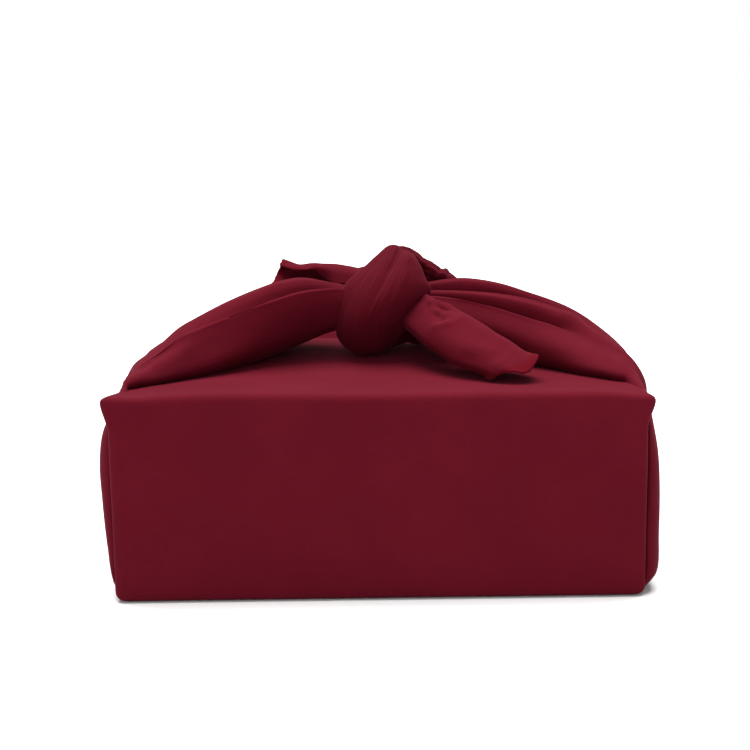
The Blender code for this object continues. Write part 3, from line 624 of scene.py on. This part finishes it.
def tail(name, table, towards, seed, creases=(), cut=0.89):
    rows = np.array([np.array(r, float).ravel() for r in table])
    mids = np.array([r.reshape(-1, 3).mean(axis=0) for r in rows])
    rows = spline(rows, 9, knots=np.linalg.norm(np.diff(mids, axis=0), axis=1) ** 0.5)
    P = np.array([spline(r.reshape(-1, 3), 9) for r in rows])
    n, _ = outward(P, False, towards)
    count = len(P)
    thin_glow = np.zeros(P.shape[:2])
    rib_and_shade = np.zeros(P.shape[:2])
    for i in range(count):
        s = i / (count - 1)
        for j in range(P.shape[1]):
            p = P[i, j]
            q = j / P.shape[1]
            dent = noise.noise(Vector((p[0] * 0.09 + seed, p[1] * 0.09, p[2] * 0.07)))
            run = noise.noise(Vector((q * 7 + seed, s * 1.6, 2.0)))
            P[i, j] = p + n[i, j] * (0.5 * dent + 0.5 * run * (1 - 0.5 * s) + pulled(p, creases))
            # painted glow along the lip and at the cut end, where a single layer would be lit through
            lip = 0.8 * float(smooth((q - 0.90) / 0.08)) * float(smooth((s - 0.45) / 0.2))
            edge = 0.05 * noise.noise(Vector((q * 5 + seed, 3.0, 0.0)))
            thin_glow[i, j] = max(float(smooth((s - cut + edge) / 0.05)), lip)
            # painted shade towards the root by the knot, with rib relief
            rib_and_shade[i, j] = 0.5 * float(smooth((0.45 - s) / 0.4))
    # the cut end is slightly ragged
    ahead = P[-1] - P[-4]
    ahead /= np.linalg.norm(ahead, axis=1)[:, None]
    for j in range(P.shape[1]):
        q = j / (P.shape[1] - 1)
        pull = 1.1 * noise.noise(Vector((q * 9 + seed, 1.0, 0.0))) + 0.5 * noise.noise(Vector((q * 26 + seed, 4.0, 0.0)))
        for k, share in ((1, 1.0), (2, 0.6), (3, 0.25)):
            P[-k, j] += ahead[j] * pull * share
    return grid_mesh(name, P, thickness=0.7, flip=outward(P, False, towards)[1], masks={"thin_glow": thin_glow, "rib_and_shade": rib_and_shade})


# ---------------------------------------------------------------- top flap
def flap():
    """The front flap: over the top to a folded edge that rolls up at the back.
    At the front it lies in the body's own surface."""
    ys = np.concatenate((np.linspace(-18, 60, 22), np.linspace(64, 88, 8), np.linspace(89.5, 101.5, 12)))
    cols = 41
    P = np.zeros((len(ys), cols, 3))
    for i, y in enumerate(ys):
        half = 117.0 if y < 46 else 117.0 - (y - 46) * (117.0 - 82.0) / (101.5 - 46)
        rise = -0.9 + 1.8 * float(smooth((y + 18) / 44.0))
        roll = 6.4 * math.exp(-((y - 96.5) / 4.2) ** 2)
        for j in range(cols):
            x = half * (2 * j / (cols - 1) - 1)
            z = lid(x, y) + rise + roll * (1 - 0.25 * abs(x) / 80.0)
            z += 0.4 * noise.noise(Vector((x * 0.012 + 4, y * 0.05, 2.0))) * float(smooth((y - 20) / 40.0))
            if y > 99:
                z -= (y - 99) * 1.6
            P[i, j] = (x, y + 0.8 * noise.noise(Vector((x * 0.03, 1.0, 8.0))) * float(smooth((y - 70) / 20.0)), z)
    return grid_mesh("flap", P, thickness=0.9, flip=outward(P, False, (0, 0, 1))[1])


def under_layers():
    """Hidden layers: the rear flap under the front one, and the corner tucks
    folded in against the sides."""
    out = []
    ys = np.linspace(98, -86, 14)
    P = np.zeros((len(ys), 12, 3))
    for i, y in enumerate(ys):
        half = min(120.0, 36 + (y + 86) * 0.9)
        for j in range(12):
            P[i, j] = (half * (2 * j / 11 - 1), y, H - 3.8)
    out.append(grid_mesh("rear_flap", P, thickness=0.4, flip=outward(P, False, (0, 0, 1))[1]))
    for side in (-1, 1):
        for back in (-1, 1):
            P = np.zeros((6, 6, 3))
            for i in range(6):
                for j in range(6):
                    reach = 78.0 * (1 - i / 5 * 0.75)
                    P[i, j] = (side * (W / 2 - 1.5), back * (D / 2 - 3.0 - reach * j / 5), 8 + 80 * i / 5)
            out.append(grid_mesh("tuck", P, thickness=0.4, flip=outward(P, False, (side, 0, 0))[1]))
    return out


# --------------------------------------------------------------- materials
class Graph:
    """A few short calls for wiring a node tree."""

    def __init__(self, material):
        material.use_nodes = True
        self.tree = material.node_tree
        self.tree.nodes.clear()
        self.x = 0

    def add(self, kind, inputs=None, **settings):
        node = self.tree.nodes.new(kind)
        self.x += 180
        node.location = (self.x, 0)
        for key, value in settings.items():
            setattr(node, key, value)
        for key, value in (inputs or {}).items():
            if isinstance(value, bpy.types.NodeSocket):
                self.tree.links.new(value, node.inputs[key])
            else:
                node.inputs[key].default_value = value
        return node

    def math(self, operation, a, b=0.0, clamp=False):
        return self.add("ShaderNodeMath", {0: a, 1: b}, operation=operation, use_clamp=clamp).outputs[0]

    def mix(self, factor, a, b):
        node = self.add("ShaderNodeMix", data_type="RGBA", blend_type="MIX")
        for index, value in ((0, factor), (6, a), (7, b)):
            if isinstance(value, bpy.types.NodeSocket):
                self.tree.links.new(value, node.inputs[index])
            else:
                node.inputs[index].default_value = value
        return node.outputs[2]

    def noise(self, vector, scale, detail=3.0, rough=0.5, distortion=0.0):
        return self.add("ShaderNodeTexNoise", {"Vector": vector, "Scale": scale, "Detail": detail,
                                               "Roughness": rough, "Distortion": distortion}).outputs["Fac"]

    def ramp(self, factor, low, high):
        return self.add("ShaderNodeMapRange", {"Value": factor, "From Min": low, "From Max": high},
                        interpolation_type="SMOOTHSTEP").outputs["Result"]


WINE = (0.080, 0.0028, 0.0087)


def cotton(name):
    material = bpy.data.materials.new(name)
    g = Graph(material)
    uv = g.add("ShaderNodeUVMap", uv_map="cloth").outputs["UV"]
    place = g.add("ShaderNodeTexCoord").outputs["Object"]
    rib_and_shade = g.add("ShaderNodeAttribute", attribute_name="rib_and_shade").outputs["Fac"]
    thin_glow = g.add("ShaderNodeAttribute", attribute_name="thin_glow").outputs["Fac"]

    # plain weave: warp and weft a third of a millimetre apart
    cells = g.add("ShaderNodeSeparateXYZ", {"Vector": uv})
    warp = g.math("SINE", g.math("MULTIPLY", cells.outputs["X"], 2 * math.pi / 0.00042))
    weft = g.math("SINE", g.math("MULTIPLY", cells.outputs["Y"], 2 * math.pi / 0.00046))
    weave = g.math("MULTIPLY", warp, weft)
    slub = g.noise(g.add("ShaderNodeMapping", {"Vector": uv, "Scale": (90.0, 2200.0, 1.0)}).outputs[0], 1.0, 2.0)
    slub2 = g.noise(g.add("ShaderNodeMapping", {"Vector": uv, "Scale": (2200.0, 90.0, 1.0)}).outputs[0], 1.0, 2.0)
    thread = g.math("ADD", g.math("MULTIPLY", slub, 0.5), g.math("MULTIPLY", slub2, 0.5))
    nap = g.noise(place, 420.0, 3.0, 0.6)
    broad = g.noise(place, 26.0, 3.0, 0.55)

    # colour: dyed-in wine red, slightly uneven; painted shade near the knot, and a painted glow,
    # brighter, where one layer alone would let light through at the cut ends
    dark = (WINE[0] * 0.94, WINE[1] * 0.90, WINE[2] * 0.94, 1)
    light = (WINE[0] * 1.06, WINE[1] * 1.10, WINE[2] * 1.06, 1)
    tone = g.mix(g.ramp(broad, 0.30, 0.70), dark, light)
    tone = g.mix(g.math("MULTIPLY", g.ramp(thread, 0.32, 0.68), 0.22), tone, (WINE[0] * 1.3, WINE[1] * 1.6, WINE[2] * 1.4, 1))
    tone = g.mix(g.math("MULTIPLY", g.ramp(nap, 0.45, 0.75), 0.10), tone, (WINE[0] * 0.6, WINE[1] * 0.6, WINE[2] * 0.6, 1))
    # painted shade: darker where the rib mask is set, near the knot, on the strands behind it and at the tails' roots
    tone = g.mix(g.math("MULTIPLY", rib_and_shade, 0.26, clamp=True), tone, (WINE[0] * 0.45, WINE[1] * 0.45, WINE[2] * 0.45, 1))
    # painted glow at the cut ends: deeper red where one layer alone is lit through
    tone = g.mix(g.math("MULTIPLY", thin_glow, 0.85, clamp=True), tone, (0.082, 0.0006, 0.0044, 1))

    # relief: weave, thread irregularity, and drawn-in ribs near the knot
    lines = g.noise(g.add("ShaderNodeMapping", {"Vector": uv, "Scale": (620.0, 26.0, 1.0)}).outputs[0], 1.0, 2.0, 0.6)
    height = g.math("ADD", g.math("MULTIPLY", weave, 0.030), g.math("MULTIPLY", thread, 0.10))
    height = g.math("ADD", height, g.math("MULTIPLY", g.math("MULTIPLY", lines, rib_and_shade), 1.5))
    height = g.math("ADD", height, g.math("MULTIPLY", g.noise(place, 95.0, 2.0), 0.10))
    bump = g.add("ShaderNodeBump", {"Height": height, "Strength": 0.55, "Distance": 0.0009})
    rough = g.add("ShaderNodeMapRange", {"Value": thread, "From Min": 0.2, "From Max": 0.8,
                                         "To Min": 0.84, "To Max": 0.97}).outputs["Result"]

    shader = g.add("ShaderNodeBsdfPrincipled", {
        "Base Color": tone, "Roughness": rough, "Specular IOR Level": 0.05,
        "Sheen Weight": 0.07, "Sheen Roughness": 0.35, "Sheen Tint": (1.0, 0.19, 0.30, 1),
        "Normal": bump.outputs["Normal"]})
    out = g.add("ShaderNodeOutputMaterial")
    g.tree.links.new(shader.outputs[0], out.inputs["Surface"])
    material.diffuse_color = (*WINE, 1)
    return material


def card(name):
    """Plain grey-white board of the box inside."""
    material = bpy.data.materials.new(name)
    g = Graph(material)
    place = g.add("ShaderNodeTexCoord").outputs["Object"]
    fibre = g.noise(g.add("ShaderNodeMapping", {"Vector": place, "Scale": (500.0, 120.0, 500.0)}).outputs[0], 1.0, 4.0, 0.6)
    blotch = g.noise(place, 18.0, 3.0)
    tone = g.mix(g.ramp(fibre, 0.3, 0.7), (0.50, 0.46, 0.40, 1), (0.62, 0.58, 0.51, 1))
    tone = g.mix(g.math("MULTIPLY", blotch, 0.3), tone, (0.44, 0.40, 0.34, 1))
    bump = g.add("ShaderNodeBump", {"Height": fibre, "Strength": 0.3, "Distance": 0.0003})
    shader = g.add("ShaderNodeBsdfPrincipled", {"Base Color": tone, "Roughness": 0.85, "Specular IOR Level": 0.3,
                                                "Normal": bump.outputs["Normal"]})
    out = g.add("ShaderNodeOutputMaterial")
    g.tree.links.new(shader.outputs[0], out.inputs["Surface"])
    return material


def studio_floor(name):
    material = bpy.data.materials.new(name)
    g = Graph(material)
    place = g.add("ShaderNodeTexCoord").outputs["Object"]
    tone = g.mix(g.noise(place, 3.0), (0.74, 0.74, 0.74, 1), (0.76, 0.76, 0.76, 1))
    shader = g.add("ShaderNodeBsdfPrincipled", {"Base Color": tone, "Roughness": 0.9, "Specular IOR Level": 0.1})
    out = g.add("ShaderNodeOutputMaterial")
    g.tree.links.new(shader.outputs[0], out.inputs["Surface"])
    return material


# ----------------------------------------------------------------- objects
pieces = [
    body(),
    flap(),
    *under_layers(),
    band("left_band", LEFT, -1, CREASES_LEFT),
    band("right_band", RIGHT, 1, CREASES_RIGHT),
    wrap_front(),
    wrap_top(),
    strand("wrap_rear", WRAP_REAR, 0.6, 5.1),
    strand("wrap_back", WRAP_BACK, 0.6, 8.4),
    core(),
    tail("tail_right", TAIL_RIGHT, (0, -0.6, 0.8), 2.0, CREASES_TAIL),
    tail("tail_left", TAIL_LEFT, (0, 0.6, 0.8), 6.0),
]
cloth = join(pieces, "cloth_wrap")
cloth.data.materials.clear()
cloth.data.materials.append(cotton("wine_cotton"))
for polygon in cloth.data.polygons:
    polygon.material_index = 0

box_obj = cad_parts["box"] if "box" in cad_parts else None
if hasattr(box_obj, "data"):
    box_obj.data.materials.clear()
    box_obj.data.materials.append(card("board"))

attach(cloth, "root")
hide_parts("furoshiki")

# ------------------------------------------------------------------- stage
bpy.ops.mesh.primitive_plane_add(size=12.0, location=(0, 2.0, 0))
floor = bpy.context.object
floor.name = "studio_floor"
floor.data.materials.append(studio_floor("pale_floor"))


def soft_light(name, towards, spread, strength, colour=(1, 1, 1)):
    """A wide, even overhead source, far enough to light the whole floor."""
    data = bpy.data.lights.new(name, "SUN")
    data.angle = math.radians(spread)
    data.energy = strength
    data.color = colour
    obj = bpy.data.objects.new(name, data)
    bpy.context.scene.collection.objects.link(obj)
    obj.location = Vector(towards) * -1.5
    obj.rotation_euler = Vector(towards).to_track_quat("-Z", "Y").to_euler()
    return obj


soft_light("key", (0.03, -0.15, -1.0), 48.0, 6.75)
soft_light("fill", (0.22, 1.0, -0.55), 60.0, 1.0)

world = bpy.data.worlds.new("studio")
bpy.context.scene.world = world
world.use_nodes = True
wt = world.node_tree
wt.nodes.clear()
ray = wt.nodes.new("ShaderNodeLightPath")
dome = wt.nodes.new("ShaderNodeBackground")
dome.inputs["Color"].default_value = (1, 1, 1, 1)
dome.inputs["Strength"].default_value = 0.45
seen = wt.nodes.new("ShaderNodeBackground")
seen.inputs["Color"].default_value = (1, 1, 1, 1)
seen.inputs["Strength"].default_value = 1.0
pick = wt.nodes.new("ShaderNodeMixShader")
out = wt.nodes.new("ShaderNodeOutputWorld")
wt.links.new(ray.outputs["Is Camera Ray"], pick.inputs[0])
wt.links.new(dome.outputs[0], pick.inputs[1])
wt.links.new(seen.outputs[0], pick.inputs[2])
wt.links.new(pick.outputs[0], out.inputs["Surface"])

# ------------------------------------------------------------------ camera
PITCH, ROLL = math.radians(8.80), math.radians(-0.782)
forward = Vector((0, math.cos(PITCH), -math.sin(PITCH)))
right = Vector((1, 0, 0))
up = right.cross(forward)
right, up = (right * math.cos(ROLL) + up * math.sin(ROLL), up * math.cos(ROLL) - right * math.sin(ROLL))
lens = bpy.data.cameras.new("photo_camera")
lens.sensor_fit = "HORIZONTAL"
lens.sensor_width = 36.0
lens.lens = 62.4
lens.clip_start, lens.clip_end = 0.01, 30.0
camera = bpy.data.objects.new("photo_camera", lens)
bpy.context.scene.collection.objects.link(camera)
basis = Matrix((right, up, -forward)).transposed().to_4x4()
basis.translation = Vector((-0.00114, -0.68836, 0.19772))
camera.matrix_world = basis
bpy.context.scene.camera = camera
bpy.context.scene.view_settings.view_transform = "Standard"
bpy.context.scene.view_settings.look = "None"
